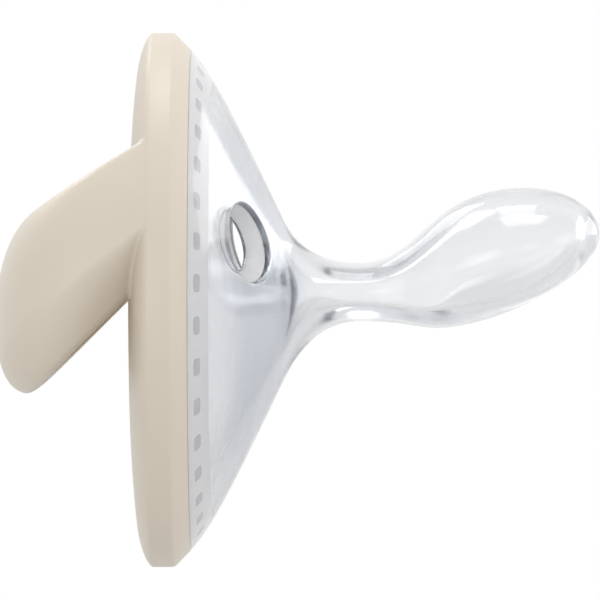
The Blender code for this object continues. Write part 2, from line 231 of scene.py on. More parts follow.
def rounded_corner(before, corner, after, radius):
    """(x, radius) points on a quadratic curve that rounds the corner between two straight stretches."""
    before, corner, after = map(np.array, (before, corner, after))
    start = corner + (before - corner) / np.linalg.norm(before - corner) * radius
    end = corner + (after - corner) / np.linalg.norm(after - corner) * radius
    t = np.linspace(0, 1, CORNER_POINTS)[:, None]
    return (1 - t) ** 2 * start + 2 * t * (1 - t) * corner + t**2 * end


def rim_profile():
    """(x, radius) from the end of the face's rolled edge, over the rim and chamfer, to the socket's floor."""
    rim_front = (face_x + FACE_DROP + EDGE_DROP, shield_radius)
    rim_back = (rim_front[0] + RIM_FLAT, shield_radius)
    seam = (seam_x, shield_radius - CHAMFER_FALL)
    lip = (seam_x, SOCKET_RADIUS)
    floor_x = face_x + FACE_THICKNESS
    snap_x = (floor_x + seam_x) / 2
    groove = [
        (snap_x + SNAP_HALF_WIDTH, SOCKET_RADIUS),
        (snap_x + SNAP_HALF_WIDTH - SNAP_DEPTH, SOCKET_RADIUS + SNAP_DEPTH),
        (snap_x - SNAP_HALF_WIDTH + SNAP_DEPTH, SOCKET_RADIUS + SNAP_DEPTH),
        (snap_x - SNAP_HALF_WIDTH, SOCKET_RADIUS),
    ]
    rim_corner = rounded_corner(rim_front, rim_back, seam, RIM_ROUND)
    seam_corner = rounded_corner(rim_back, seam, lip, SEAM_ROUND)
    return np.concatenate(([rim_front], rim_corner, seam_corner, [lip], groove, [(floor_x, SOCKET_RADIUS)]))


def moulded_finish():
    """The node group for a moulded surface. A slow noise, the flow of the melt, moves tone and roughness
    about the values given. A fine noise, the texture of the mould, is mixed with it by share and put out
    as a height."""
    group = bpy.data.node_groups.new("moulded_finish", "ShaderNodeTree")
    group.interface.new_socket("Colour", in_out="INPUT", socket_type="NodeSocketColor")
    for label in ("Mottle", "Roughness", "Patchiness", "Flow Scale", "Grain Scale", "Grain Share"):
        group.interface.new_socket(label, in_out="INPUT", socket_type="NodeSocketFloat")
    group.interface.new_socket("Colour", in_out="OUTPUT", socket_type="NodeSocketColor")
    for label in ("Roughness", "Height"):
        group.interface.new_socket(label, in_out="OUTPUT", socket_type="NodeSocketFloat")

    nodes, link = group.nodes, group.links.new
    given, result = nodes.new("NodeGroupInput"), nodes.new("NodeGroupOutput")
    place = nodes.new("ShaderNodeTexCoord")
    flow, grain = nodes.new("ShaderNodeTexNoise"), nodes.new("ShaderNodeTexNoise")
    flow.inputs["Detail"].default_value = FLOW_DETAIL
    grain.inputs["Detail"].default_value = GRAIN_DETAIL
    for noise, scale in ((flow, "Flow Scale"), (grain, "Grain Scale")):
        link(place.outputs["Object"], noise.inputs["Vector"])
        link(given.outputs[scale], noise.inputs["Scale"])
    drift = nodes.new("ShaderNodeMath")
    drift.operation = "SUBTRACT"
    drift.inputs[1].default_value = NOISE_MIDDLE
    link(flow.outputs["Fac"], drift.inputs[0])
    tone, gloss = nodes.new("ShaderNodeMath"), nodes.new("ShaderNodeMath")
    for node, amount in ((tone, "Mottle"), (gloss, "Patchiness")):
        node.operation = "MULTIPLY_ADD"
        link(drift.outputs[0], node.inputs[0])
        link(given.outputs[amount], node.inputs[1])
    tone.inputs[2].default_value = 1
    link(given.outputs["Roughness"], gloss.inputs[2])
    tint = nodes.new("ShaderNodeMix")
    tint.data_type = "RGBA"
    tint.blend_type = "MULTIPLY"
    tint.inputs["Factor"].default_value = 1
    link(given.outputs["Colour"], tint.inputs["A"])
    link(tone.outputs[0], tint.inputs["B"])
    height = nodes.new("ShaderNodeMix")
    link(given.outputs["Grain Share"], height.inputs["Factor"])
    link(flow.outputs["Fac"], height.inputs["A"])
    link(grain.outputs["Fac"], height.inputs["B"])
    link(tint.outputs["Result"], result.inputs["Colour"])
    link(gloss.outputs[0], result.inputs["Roughness"])
    link(height.outputs["Result"], result.inputs["Height"])
    return group


def moulded_material(name, colour, finish, relief):
    """A material whose colour, roughness and relief come from the moulded finish. relief is in metres."""
    material = bpy.data.materials.new(name)
    material.use_nodes = True
    nodes, link = material.node_tree.nodes, material.node_tree.links.new
    shader = nodes["Principled BSDF"]
    surface, bump = nodes.new("ShaderNodeGroup"), nodes.new("ShaderNodeBump")
    surface.node_tree = moulded_group
    surface.inputs["Colour"].default_value = (*colour, 1)
    for label, value in finish.items():
        surface.inputs[label].default_value = value
    bump.inputs["Distance"].default_value = relief
    link(surface.outputs["Height"], bump.inputs["Height"])
    link(surface.outputs["Colour"], shader.inputs["Base Color"])
    link(surface.outputs["Roughness"], shader.inputs["Roughness"])
    link(bump.outputs["Normal"], shader.inputs["Normal"])
    return material


moulded_group = moulded_finish()
shell_material = moulded_material("beige_polypropylene", SHELL_COLOUR, SHELL_FINISH, SHELL_RELIEF)

shell_angles = round_angles(SHELL_COLUMNS)
edge_turn = np.linspace(0, math.pi / 2, EDGE_STEPS + 1)[1:]
inner_radii = np.linspace(0, shield_radius - EDGE_RUN, FACE_RINGS)
face_radii = np.concatenate((inner_radii, shield_radius - EDGE_RUN + EDGE_RUN * np.sin(edge_turn)))
floor_radii = np.concatenate((inner_radii[inner_radii < SOCKET_RADIUS - LEAST_RING_STEP], [SOCKET_RADIUS]))
shell_vent = (SHELL_VENT_RADIUS, SHELL_VENT_ROUND, SHELL_VENT_REACH)
face_sheets, face_edges = pierced_sheets(face_radii, shell_angles, face_height, 1, *shell_vent)
floor_sheets, floor_edges = pierced_sheets(floor_radii, shell_angles, socket_floor, -1, *shell_vent)
rim_sheet = (turned(rim_profile(), shell_angles), ALL_CELLS)
shell_sheets = face_sheets + floor_sheets + [rim_sheet] + vent_tunnels(face_edges, floor_edges)
shell = welded_piece("shell", shell_sheets, shell_material, SHELL_SHARP_ANGLE)
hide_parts("front_shell")

# The loop handle is moulded in one with the shell, in the same beige polypropylene. Its band leaves both
# sides of the face's upper half, slopes down and forward, and bulges like a barrel. Its edges are rounded,
# and its roots run into the face in a soft fillet.
ROOT_TOP = 12.0 * MM
ROOT_BOTTOM = 0.3 * MM
LIP = np.array((-7.4, 7.2)) * MM
BELLY = np.array((-10.55, -1.5)) * MM
TOE = np.array((-7.7, -7.4)) * MM
LIP_PULL = 2.2 * MM
BELLY_PULL_UP = 4.5 * MM
BELLY_PULL_DOWN = 3.8 * MM
TOE_PULL = 2.0 * MM
FOOT_WIDTH = 36.0 * MM
FLANK_INSET = 0.15 * MM
CURL_START = 0.6
CURL_POWER = 1.2
PINCH_START = 0.35
PINCH_END = 1.0
PINCH_DEPTH = 0.8 * MM
PINCH_REACH = 0.5
HANDLE_WALL = 2.0 * MM
HANDLE_EDGE_ROUND = 0.75 * MM
HANDLE_FILLET = 0.4 * MM
HANDLE_SINK = 0.5 * MM
HANDLE_EMBED = 0.015 * MM
HANDLE_LIMIT = 0.998
LOOP_SQUARENESS = 4.0
LOOP_END_DEGREES = 85
LOOP_RINGS = 130
FRONT_POINTS = 60
SKIN_POINTS = 30
HANDLE_EDGE_POINTS = 7
FILLET_RINGS = 12
HANDLE_SHARP_ANGLE = 60


def bezier(start, leave, enter, end, count):
    """Points on the cubic curve that leaves start towards leave and arrives at end from enter."""
    t = np.linspace(0, 1, count)[:, None]
    return (1 - t) ** 3 * start + 3 * t * (1 - t) ** 2 * leave + 3 * t**2 * (1 - t) * enter + t**3 * end


def band_section():
    """The band's closed section, down its outer skin and back up the inner one, with quarter rounds at the
    edges. share runs from the upper edge (0) to the lower edge (1), and depth inwards from the outer skin."""
    edge_share = HANDLE_EDGE_ROUND / (LIP[1] - TOE[1])
    turn = np.linspace(0, math.pi / 2, HANDLE_EDGE_POINTS)
    corner_share, corner_depth = edge_share * (1 - np.cos(turn)), HANDLE_EDGE_ROUND * (1 - np.sin(turn))
    skin_share = np.linspace(edge_share, 1 - edge_share, SKIN_POINTS)[1:-1]
    outer_share = np.concatenate((corner_share, skin_share, 1 - corner_share[::-1]))
    outer_depth = np.concatenate((corner_depth, 0 * skin_share, corner_depth[::-1]))
    share = np.concatenate((outer_share, outer_share[::-1]))
    depth = np.concatenate((outer_depth, HANDLE_WALL - outer_depth[::-1]))
    return share, depth


def handle_sheets():
    """The band's section, carried round a superellipse from one root to the other. Its lower part curls in to
    the foot's width, and is pinched a little beside the roots."""
    down_slope = (LIP - (0, ROOT_TOP)) / np.linalg.norm(LIP - (0, ROOT_TOP))
    upper = bezier(LIP, LIP + LIP_PULL * down_slope, BELLY + (0, BELLY_PULL_UP), BELLY, FRONT_POINTS)
    lower = bezier(BELLY, BELLY - (0, BELLY_PULL_DOWN), TOE - (TOE_PULL, 0), TOE, FRONT_POINTS)
    front = np.concatenate((upper, lower[1:]))

    share, depth = band_section()
    samples = np.linspace(0, 1, len(front))
    root_height = ROOT_TOP + share * (ROOT_BOTTOM - ROOT_TOP)
    run = np.interp(share, samples, front[:, 0])
    fall = np.interp(share, samples, front[:, 1]) - root_height
    length = np.hypot(run, fall)
    flank_radius = shield_radius - FLANK_INSET
    curl = np.clip((share - CURL_START) / (1 - CURL_START), 0, 1) ** CURL_POWER
    taper = 1 - curl * (1 - FOOT_WIDTH / 2 / flank_radius)
    half_width = np.sqrt(flank_radius**2 - root_height**2) * taper - depth

    angle = np.radians(np.linspace(-LOOP_END_DEGREES, LOOP_END_DEGREES, LOOP_RINGS))[:, None]
    forward = np.cos(angle) ** (2 / LOOP_SQUARENESS)
    out = (length - depth) / length * forward
    side = np.sign(angle) * np.abs(np.sin(angle)) ** (2 / LOOP_SQUARENESS)
    low = np.clip((share - PINCH_START) / (PINCH_END - PINCH_START), 0, 1)
    pinch = PINCH_DEPTH * low**2 * (3 - 2 * low)
    near_root = np.exp(-((forward / PINCH_REACH) ** 2))
    band_y = (half_width - pinch * near_root) * side
    band = np.stack((face_x + run * out, band_y, root_height + fall * out), -1)
    right_root = handle_root(half_width - pinch, root_height, fall / run)
    left_root = right_root * (1, -1, 1)
    return [(np.concatenate((left_root[::-1], band, right_root)), ALL_CELLS)]


def handle_root(y, z, slope):
    """Rings that join the band to the face: a quarter round that comes down along the band's slope and
    spreads over the face, held inside the rim where the flank is flush with it, then a collar sunk in the
    face and closed."""
    x = face_height(y, z)
    z = z + slope * (x - face_x)
    ring = np.stack((y, z), -1)
    along = np.roll(ring, -1, 0) - np.roll(ring, 1, 0)
    winding = np.sign(np.sum(ring[:, 0] * along[:, 1] - ring[:, 1] * along[:, 0]))
    outward = winding * np.stack((along[:, 1], -along[:, 0]), -1) / np.linalg.norm(along, axis=1)[:, None]
    turn = np.linspace(0, math.pi / 2, FILLET_RINGS)[:, None]
    lift, spread = HANDLE_FILLET * (1 - np.sin(turn)), HANDLE_FILLET * (1 - np.cos(turn))
    foot_y, foot_z = y + spread * outward[:, 0], z + spread * outward[:, 1]
    limit = np.minimum(1, HANDLE_LIMIT * shield_radius / np.hypot(foot_y, foot_z))
    foot_y, foot_z = foot_y * limit, foot_z * limit
    foot_x = face_height(foot_y, foot_z) + HANDLE_EMBED * np.sin(turn)
    rings = np.stack((foot_x - lift, foot_y, foot_z - slope * lift), -1)
    sunk = rings[-1] + (HANDLE_SINK, 0, 0)
    return np.concatenate((rings, [sunk, 0 * sunk + sunk.mean(0)]))


handle = welded_piece("handle", handle_sheets(), shell_material, HANDLE_SHARP_ANGLE)

# The silicone is one clear moulding: a collar behind the shell's chamfer, a cone-shaped skirt with a vent on
# each side, a flat neck and a hollow teat that turns up at its end. It grips the ring inside its collar. The
# walls of its vents have a frosted finish of their own.
_, silicone_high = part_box("silicone_teat")
tip_x = silicone_high.x
seam_radius = shield_radius - CHAMFER_FALL
SEAM_OVERLAP = 0.02 * MM
CONE_ANGLE = math.radians(64.6)
SKIRT_DEPTH = 7.55 * MM
SKIRT_PULL = 2.6 * MM
CONE_PULL = 8.2 * MM
FLARE_RADIUS = 6.3 * MM
FLARE_LENGTH = 6.1 * MM
FLARE_PULL = 2.2 * MM
NECK_PULL = 3.3 * MM
NECK_TOP = 3.0 * MM
NECK_BOTTOM = -1.7 * MM
NECK_WIDTH = 8.4 * MM
CREST_FROM_NECK = 13.4 * MM
CREST_HEIGHT = 9.05 * MM
KEEL_FROM_NECK = 6.25 * MM
KEEL_HEIGHT = -2.25 * MM
WIDEST_FROM_NECK = 12.2 * MM
BULB_WIDTH = 14.4 * MM
TIP_HEIGHT = 5.3 * MM
TOP_PULLS = np.array((5.0, 8.2, 3.3, 2.0)) * MM
BOTTOM_PULLS = np.array((3.4, 1.8, 4.5, 3.4)) * MM
SIDE_PULLS = np.array((4.5, 6.5, 4.2, 4.0)) * MM
COLLAR_LENGTH = 2.0 * MM
COLLAR_WALL = 1.8 * MM
CONE_WALL = 1.65 * MM
NECK_WALL = 1.55 * MM
BULB_WALL = 1.5 * MM
HOLLOW_TOP_PULLS = np.array((6.5, 7.5, 2.6, 1.7)) * MM
HOLLOW_BOTTOM_PULLS = np.array((3.4, 1.8, 4.5, 3.0)) * MM
HOLLOW_SIDE_PULLS = np.array((6.0, 6.0, 3.8, 3.6)) * MM
ELLIPSE = 2
BORE_SQUARENESS = 4.5
BORE_REACH = 4.5 * MM
SKIRT_VENT_RADIUS = 3.05 * MM
SKIRT_VENT_ROUND = 0.4 * MM
SKIRT_VENT_INNER_RADIUS = 2.35 * MM
SKIRT_VENT_INNER_ROUND = 0.35 * MM
SKIRT_VENT_REACH = 4.0 * MM
SKIRT_POINTS = 80
FLARE_POINTS = 60
BULB_RISE_POINTS = 60
BULB_END_POINTS = 90
SILICONE_COLUMNS = 192
SKIRT_RINGS = 40
COLLAR_RINGS = 12
COLLAR_END_RINGS = 8
OUTER_FLARE_RINGS = 40
OUTER_TEAT_RINGS = 70
INNER_FLARE_RINGS = 46
INNER_TEAT_RINGS = 66
TIP_CROWDING = 0.9
CONE_END_MARGIN = 0.001 * MM
SILICONE_SHARP_ANGLE = 50
cone_x = seam_x + SKIRT_DEPTH
neck_x = cone_x + FLARE_LENGTH


def skirt_outline(neck_distance):
    """(x, distance from the axis) from the seam, down cone and flare, to the neck: two cubic curves."""
    seam_slope = np.array((CHAMFER_RUN, -CHAMFER_FALL)) / math.hypot(CHAMFER_RUN, CHAMFER_FALL)
    cone_slope = np.array((math.cos(CONE_ANGLE), -math.sin(CONE_ANGLE)))
    seam, cone = np.array((seam_x, seam_radius)), np.array((cone_x, FLARE_RADIUS))
    neck = np.array((neck_x, neck_distance))
    skirt = bezier(seam, seam + SKIRT_PULL * seam_slope, cone - CONE_PULL * cone_slope, cone, SKIRT_POINTS)
    flare = bezier(cone, cone + FLARE_PULL * cone_slope, neck - (NECK_PULL, 0), neck, FLARE_POINTS)
    return np.concatenate((skirt, flare[1:]))


def teat_outline(neck, far, tip, pulls):
    """(x, distance from the axis) from the neck, over the farthest place, to the tip: two cubic curves."""
    leave_neck, enter_far, leave_far, enter_tip = pulls
    rise = bezier(neck, neck + (leave_neck, 0), far - (enter_far, 0), far, BULB_RISE_POINTS)
    end = bezier(far, far + (leave_far, 0), tip + (0, enter_tip), tip, BULB_END_POINTS)
    return np.concatenate((rise[1:], end[1:]))


def inset(outline, depth):
    """The outline moved by depth to the right of its own direction, which is into the silicone."""
    along = np.gradient(outline, axis=0)
    along /= np.linalg.norm(along, axis=1)[:, None]
    return outline + np.stack((along[:, 1], -along[:, 0]), -1) * depth[:, None]


def silicone_outlines(neck_distance, far_from_neck, far_distance, tip_distance, pulls, hollow_pulls):
    """The outline of the outside, and that of the hollow, which lies in from it by the wall."""
    skirt = skirt_outline(neck_distance)
    far = np.array((neck_x + far_from_neck, far_distance))
    tip = np.array((tip_x, tip_distance))
    outside = np.concatenate((skirt, teat_outline(skirt[-1], far, tip, pulls)))
    wall_places = [seam_x + COLLAR_LENGTH, cone_x, neck_x]
    inner_skirt = inset(skirt, np.interp(skirt[:, 0], wall_places, [COLLAR_WALL, CONE_WALL, NECK_WALL]))
    inner_skirt[-1] = skirt[-1] - (0, NECK_WALL)
    hollow_teat = teat_outline(inner_skirt[-1], far - (0, BULB_WALL), tip - (BULB_WALL, 0), hollow_pulls)
    return outside, np.concatenate((inner_skirt, hollow_teat))


def skirt_height(outline):
    """The skirt's x over (y, z), read from an outline of (x, radius), less the overlap at the seam."""
    return lambda y, z: np.interp(np.hypot(y, z), outline[:, 1], outline[:, 0]) - SEAM_OVERLAP


def ovals(outlines, x, angles, squareness):
    """A ring at each x, between the top, bottom and side outlines: an ellipse where squareness is 2, and a
    rounded slot where it is more."""
    top, bottom, side = (np.interp(x, *outline.T)[:, None] for outline in outlines)
    power = 2 / np.reshape(squareness, (-1, 1))
    across = np.sign(np.cos(angles)) * np.abs(np.cos(angles)) ** power
    up = np.sign(np.sin(angles)) * np.abs(np.sin(angles)) ** power
    height = (top - bottom) / 2 + (top + bottom) / 2 * up
    return np.stack((x[:, None] + 0 * angles, side * across, height), -1)


def tip_stations(start, end, count):
    """x stations on a quarter sine, so that they close up towards a round end."""
    even = np.linspace(0, 1, count)
    return start + (end - start) * np.sin(even * math.pi / 2) ** TIP_CROWDING


top_pair = silicone_outlines(
    NECK_TOP, CREST_FROM_NECK, CREST_HEIGHT, TIP_HEIGHT, TOP_PULLS, HOLLOW_TOP_PULLS
)
bottom_pair = silicone_outlines(
    -NECK_BOTTOM, KEEL_FROM_NECK, -KEEL_HEIGHT, -TIP_HEIGHT, BOTTOM_PULLS, HOLLOW_BOTTOM_PULLS
)
side_pair = silicone_outlines(
    NECK_WIDTH / 2, WIDEST_FROM_NECK, BULB_WIDTH / 2, 0, SIDE_PULLS, HOLLOW_SIDE_PULLS
)
outer_outlines, hollow_outlines = zip(top_pair, bottom_pair, side_pair)
outer_top, hollow_top = top_pair
hollow_tip_x = tip_x - BULB_WALL

silicone_angles = round_angles(SILICONE_COLUMNS)
outer_skirt = outer_top[outer_top[:, 0] <= cone_x + CONE_END_MARGIN][::-1]
inner_skirt = hollow_top[hollow_top[:, 0] <= cone_x][::-1]
collar_inner_radius = np.interp(seam_x, *hollow_top.T)
skirt_radii = np.linspace(FLARE_RADIUS, collar_inner_radius, SKIRT_RINGS)
collar_radii = np.linspace(collar_inner_radius, seam_radius, COLLAR_RINGS)
outer_sheets, outer_edges = pierced_sheets(
    np.concatenate((skirt_radii, collar_radii[1:])),
    silicone_angles,
    skirt_height(outer_skirt),
    -1,
    SKIRT_VENT_RADIUS,
    SKIRT_VENT_ROUND,
    SKIRT_VENT_REACH,
)
inner_sheets, inner_edges = pierced_sheets(
    skirt_radii,
    silicone_angles,
    skirt_height(inner_skirt),
    1,
    SKIRT_VENT_INNER_RADIUS,
    SKIRT_VENT_INNER_ROUND,
    SKIRT_VENT_REACH,
)
collar_end_radii = np.linspace(collar_inner_radius, seam_radius, COLLAR_END_RINGS)
collar_end = turned([(seam_x - SEAM_OVERLAP, radius) for radius in collar_end_radii], silicone_angles)

inner_start_x = np.interp(FLARE_RADIUS, inner_skirt[:, 1], inner_skirt[:, 0])
outer_flare = np.linspace(cone_x, neck_x, OUTER_FLARE_RINGS)
inner_flare = np.linspace(inner_start_x, neck_x, INNER_FLARE_RINGS)
outer_stations = np.concatenate((outer_flare, tip_stations(neck_x, tip_x, OUTER_TEAT_RINGS)[1:]))
inner_stations = np.concatenate((inner_flare, tip_stations(neck_x, hollow_tip_x, INNER_TEAT_RINGS)[1:]))
bore_share = np.exp(-(((inner_stations - neck_x - BORE_REACH / 2) / BORE_REACH) ** 4))
bore_squareness = ELLIPSE + (BORE_SQUARENESS - ELLIPSE) * bore_share
outer_teat = ovals(outer_outlines, outer_stations, silicone_angles, ELLIPSE + 0 * outer_stations)
inner_teat = ovals(hollow_outlines, inner_stations, silicone_angles, bore_squareness)
outer_teat[0, :, 0] -= SEAM_OVERLAP
inner_teat[0, :, 0] -= SEAM_OVERLAP
outer_teat[-1] = (tip_x, 0, TIP_HEIGHT)
inner_teat[-1] = (hollow_tip_x, 0, TIP_HEIGHT)

# The wall's tint along the axis is painted shade: the cone is tinted grey to darken it, while the collar and
# teat stay nearly clear.
COLLAR_COLOUR = (0.99, 0.99, 0.995)
CONE_PAINTED_SHADE = (0.81, 0.83, 0.86)
TEAT_COLOUR = (0.96, 0.965, 0.972)
CLEAR_COLLAR_END = 1.8 * MM
PAINTED_SHADE_START = 3.5 * MM
PAINTED_SHADE_END = 1.0 * MM
CLEAR_TEAT_START = 2.0 * MM
BODY_COLOUR = (0.5, 0.54, 0.6)
BODY_DENSITY = 60
SILICONE_IOR = 1.41
SILICONE_TRANSMISSION = 1.0
SILICONE_RELIEF = 0.04 * MM
SILICONE_FINISH = {
    "Mottle": 0.03,
    "Roughness": 0.1,
    "Patchiness": 0.08,
    "Flow Scale": 210,
    "Grain Scale": 2600,
    "Grain Share": 0.02,
}
VENT_COLOUR = (0.97, 0.975, 0.98)
VENT_TRANSMISSION = 0.35
VENT_RELIEF = 0.01 * MM
VENT_FINISH = {**SILICONE_FINISH, "Roughness": 0.5}


def let_light_through(material, transmission, ior):
    """Set how much light passes into the material, and how much it bends there."""
    shader = material.node_tree.nodes["Principled BSDF"]
    shader.inputs["Transmission Weight"].default_value = transmission
    shader.inputs["IOR"].default_value = ior


def shade_painted_along_axis(material, stops):
    """The finish's colour follows stops of (x, colour), and is painted shade: the wall is tinted greyest in
    the cone to darken it there, clearest over the ring, and nearly clear in the teat."""
    nodes, link = material.node_tree.nodes, material.node_tree.links.new
    place, split = nodes.new("ShaderNodeTexCoord"), nodes.new("ShaderNodeSeparateXYZ")
    along, ramp = nodes.new("ShaderNodeMapRange"), nodes.new("ShaderNodeValToRGB")
    start, end = stops[0][0], stops[-1][0]
    along.inputs["From Min"].default_value = start
    along.inputs["From Max"].default_value = end
    ramp.color_ramp.interpolation = "EASE"
    while len(ramp.color_ramp.elements) < len(stops):
        ramp.color_ramp.elements.new(0.5)
    for element, (x, colour) in zip(ramp.color_ramp.elements, stops):
        element.position = (x - start) / (end - start)
        element.color = (*colour, 1)
    surface = next(node for node in nodes if node.type == "GROUP")
    link(place.outputs["Object"], split.inputs[0])
    link(split.outputs["X"], along.inputs["Value"])
    link(along.outputs["Result"], ramp.inputs["Fac"])
    link(ramp.outputs["Color"], surface.inputs["Colour"])


def silicone_body(material):
    """The silicone absorbs a little light on the way through it, so a wall is greyer on edge than face on."""
    nodes, link = material.node_tree.nodes, material.node_tree.links.new
    body = nodes.new("ShaderNodeVolumeAbsorption")
    body.inputs["Color"].default_value = (*BODY_COLOUR, 1)
    body.inputs["Density"].default_value = BODY_DENSITY
    link(body.outputs["Volume"], nodes["Material Output"].inputs["Volume"])


silicone_material = moulded_material("clear_silicone", CONE_PAINTED_SHADE, SILICONE_FINISH, SILICONE_RELIEF)
vent_material = moulded_material("frosted_vent_walls", VENT_COLOUR, VENT_FINISH, VENT_RELIEF)
let_light_through(silicone_material, SILICONE_TRANSMISSION, SILICONE_IOR)
let_light_through(vent_material, VENT_TRANSMISSION, SILICONE_IOR)
silicone_body(silicone_material)
silicone_body(vent_material)
shade_painted_along_axis(
    silicone_material,
    [
        (seam_x + CLEAR_COLLAR_END, COLLAR_COLOUR),
        (cone_x - PAINTED_SHADE_START, CONE_PAINTED_SHADE),
        (cone_x - PAINTED_SHADE_END, CONE_PAINTED_SHADE),
        (cone_x + CLEAR_TEAT_START, TEAT_COLOUR),
    ],
)

silicone_sheets = outer_sheets + inner_sheets
silicone_sheets += [(points, ALL_CELLS) for points in (collar_end, outer_teat, inner_teat)]
silicone = welded_piece(
    "silicone",
    silicone_sheets,
    silicone_material,
    SILICONE_SHARP_ANGLE,
    vent_tunnels(outer_edges, inner_edges),
    vent_material,
)
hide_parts("silicone_teat")

# The anchor ring is moulded in milky polypropylene and is caught between the other two pieces: its hub snaps
# into the shell's socket, and the silicone is moulded round its flange and through the 36 windows in it. A
# thin web closes the hub, apart from the two vents.
HUB_RADIUS = 18.11 * MM
HUB_INNER_RADIUS = 17.51 * MM
FLANGE_COVER = 0.4 * MM
FLANGE_RISE = 0.36 * MM
FLANGE_THICKNESS = 0.75 * MM
FLANGE_REACH = 1.8 * MM
WINDOW_COUNT = 36
WINDOW_LENGTH = 1.35 * MM
WINDOW_WIDTH = 0.9 * MM
WINDOW_PLACE = 0.42
FLANGE_MIDDLE = 0.5
WINDOW_STEPS = 8
WINDOW_RINGS = 5
RING_GAP = 0.01 * MM
WEB_THICKNESS = 0.8 * MM
WEB_VENT_RADIUS = 3.5 * MM
WEB_VENT_ROUND = 0.15 * MM
WEB_VENT_REACH = 4.1 * MM
WEB_RINGS = 50
RING_SHARP_ANGLE = 35
RING_COLOUR = (0.985, 0.985, 0.99)
RING_TRANSMISSION = 0.05
RING_IOR = 1.1
RING_RELIEF = 0.004 * MM
RING_FINISH = {
    "Mottle": 0.04,
    "Roughness": 0.35,
    "Patchiness": 0.15,
    "Flow Scale": 160,
    "Grain Scale": 5200,
    "Grain Share": 1,
}


def flange_sheet(s, angle, depth):
    """Points of the flange's skin: s runs from the seam (0) to its free edge (1), and depth is below the
    silicone. The skin rises towards the seam with the third power of the way left, to meet the shell."""
    skin = inset(outer_top, 0 * outer_top[:, 0] + depth)
    end_x = np.interp(seam_x + FLANGE_REACH, outer_top[:, 0], skin[:, 0])
    x = seam_x + RING_GAP + s * (end_x - seam_x - RING_GAP)
    radius = np.interp(x, *skin.T) + FLANGE_RISE * (1 - s) ** 3
    return np.stack((x, radius * np.cos(angle), radius * np.sin(angle)), -1)


def windowed_cells(depth):
    """One cell for each window: rings that pass from the cell's square edge to the window's edge, which is a
    superellipse of the fourth power."""
    step = np.linspace(-1, 1, WINDOW_STEPS, endpoint=False)
    one = np.ones(WINDOW_STEPS)
    sides = ((step, -one), (one, step), (-step, one), (-one, -step))
    edge = np.concatenate([np.stack(side, -1) for side in sides])
    turn = np.arctan2(edge[:, 1], edge[:, 0])
    direction = np.stack((np.cos(turn), np.sin(turn)), -1)
    slot = np.sign(direction) * np.sqrt(np.abs(direction))
    half_cell = math.pi / WINDOW_COUNT
    reach = np.array((FLANGE_MIDDLE, half_cell))
    flange_length = np.linalg.norm(outer_ends[1] - outer_ends[0])
    window = np.array((WINDOW_WIDTH / 2 / flange_length, WINDOW_LENGTH / 2 / HUB_RADIUS))
    share = np.linspace(0, 1, WINDOW_RINGS)[:, None, None]
    centre = np.array((WINDOW_PLACE - FLANGE_MIDDLE, 0))
    place = edge * reach * (1 - share) + (centre + slot * window) * share
    cells = np.arange(WINDOW_COUNT) * 2 * half_cell - math.pi / 2 + half_cell
    return [flange_sheet(place[..., 0] + FLANGE_MIDDLE, place[..., 1] + cell, depth) for cell in cells]


def hub_front(y, z):
    """The front of the hub and its web: a plane just behind the socket's floor."""
    return hub_front_x + 0 * y


def web_back(y, z):
    """The back of the web: a plane that lies behind the hub's front by the web's thickness."""
    return web_back_x + 0 * y


flange_depths = (FLANGE_COVER, FLANGE_COVER + FLANGE_THICKNESS)
outer_ends, inner_ends = (
    [flange_sheet(np.array(end), np.array(0.0), depth) for end in (0.0, 1.0)] for depth in flange_depths
)
outer_cells, inner_cells = (windowed_cells(depth) for depth in flange_depths)
window_walls = [np.stack((outer[-1], inner[-1])) for outer, inner in zip(outer_cells, inner_cells)]
hub_front_x = face_x + FACE_THICKNESS + RING_GAP
web_back_x = hub_front_x + WEB_THICKNESS
hub_profile = [outer_ends[0][:2], (outer_ends[0][0], HUB_RADIUS), (hub_front_x, HUB_RADIUS)]
hub_inner_profile = [(web_back_x, HUB_INNER_RADIUS), inner_ends[0][:2]]
flange_edge_profile = [outer_ends[1][:2], inner_ends[1][:2]]
ring_profiles = (hub_profile, hub_inner_profile, flange_edge_profile)

ring_angles = round_angles(WINDOW_COUNT * WINDOW_STEPS)
web_radii = np.linspace(0, HUB_INNER_RADIUS, WEB_RINGS)
hub_radii = np.append(web_radii, HUB_RADIUS)
web_vent = (WEB_VENT_RADIUS, WEB_VENT_ROUND, WEB_VENT_REACH)
front_sheets, front_edges = pierced_sheets(hub_radii, ring_angles, hub_front, 1, *web_vent)
back_sheets, back_edges = pierced_sheets(web_radii, ring_angles, web_back, -1, *web_vent)
ring_sheets = [(cell, ALL_CELLS) for cell in outer_cells + inner_cells + window_walls]
ring_sheets += [(turned(profile, ring_angles), ALL_CELLS) for profile in ring_profiles]
ring_sheets += front_sheets + back_sheets + vent_tunnels(front_edges, back_edges)
ring_material = moulded_material("milky_polypropylene", RING_COLOUR, RING_FINISH, RING_RELIEF)
let_light_through(ring_material, RING_TRANSMISSION, RING_IOR)
ring = welded_piece("ring", ring_sheets, ring_material, RING_SHARP_ANGLE)
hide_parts("anchor_ring")

# The window plugs are the silicone that flowed through the ring's windows and locks the two pieces together.
# Seen through the collar they are cloudy, and their colour is painted shade, a little greyer than the ring
# round them.
PLUG_SHARES = np.array((1, 0.8, 0.5, 0))[:, None, None]
PLUG_SHARP_ANGLE = 50
# The plugs' colour is painted shade, greyer than the ring so that the windows look darker.
PLUG_PAINTED_SHADE = (0.91, 0.905, 0.945)
PLUG_TRANSMISSION = 0.3
PLUG_IOR = 1.1
PLUG_RELIEF = 0.01 * MM


def window_plug(outer, inner):
    """The silicone in one window: the window's edge drawn in to its middle, on two skins joined by a wall."""
    outer_skin, inner_skin = (
        edge.mean(0) + PLUG_SHARES * (edge - edge.mean(0)) for edge in (outer[-1], inner[-1])
    )
    return np.concatenate((outer_skin[::-1], inner_skin)), ALL_CELLS


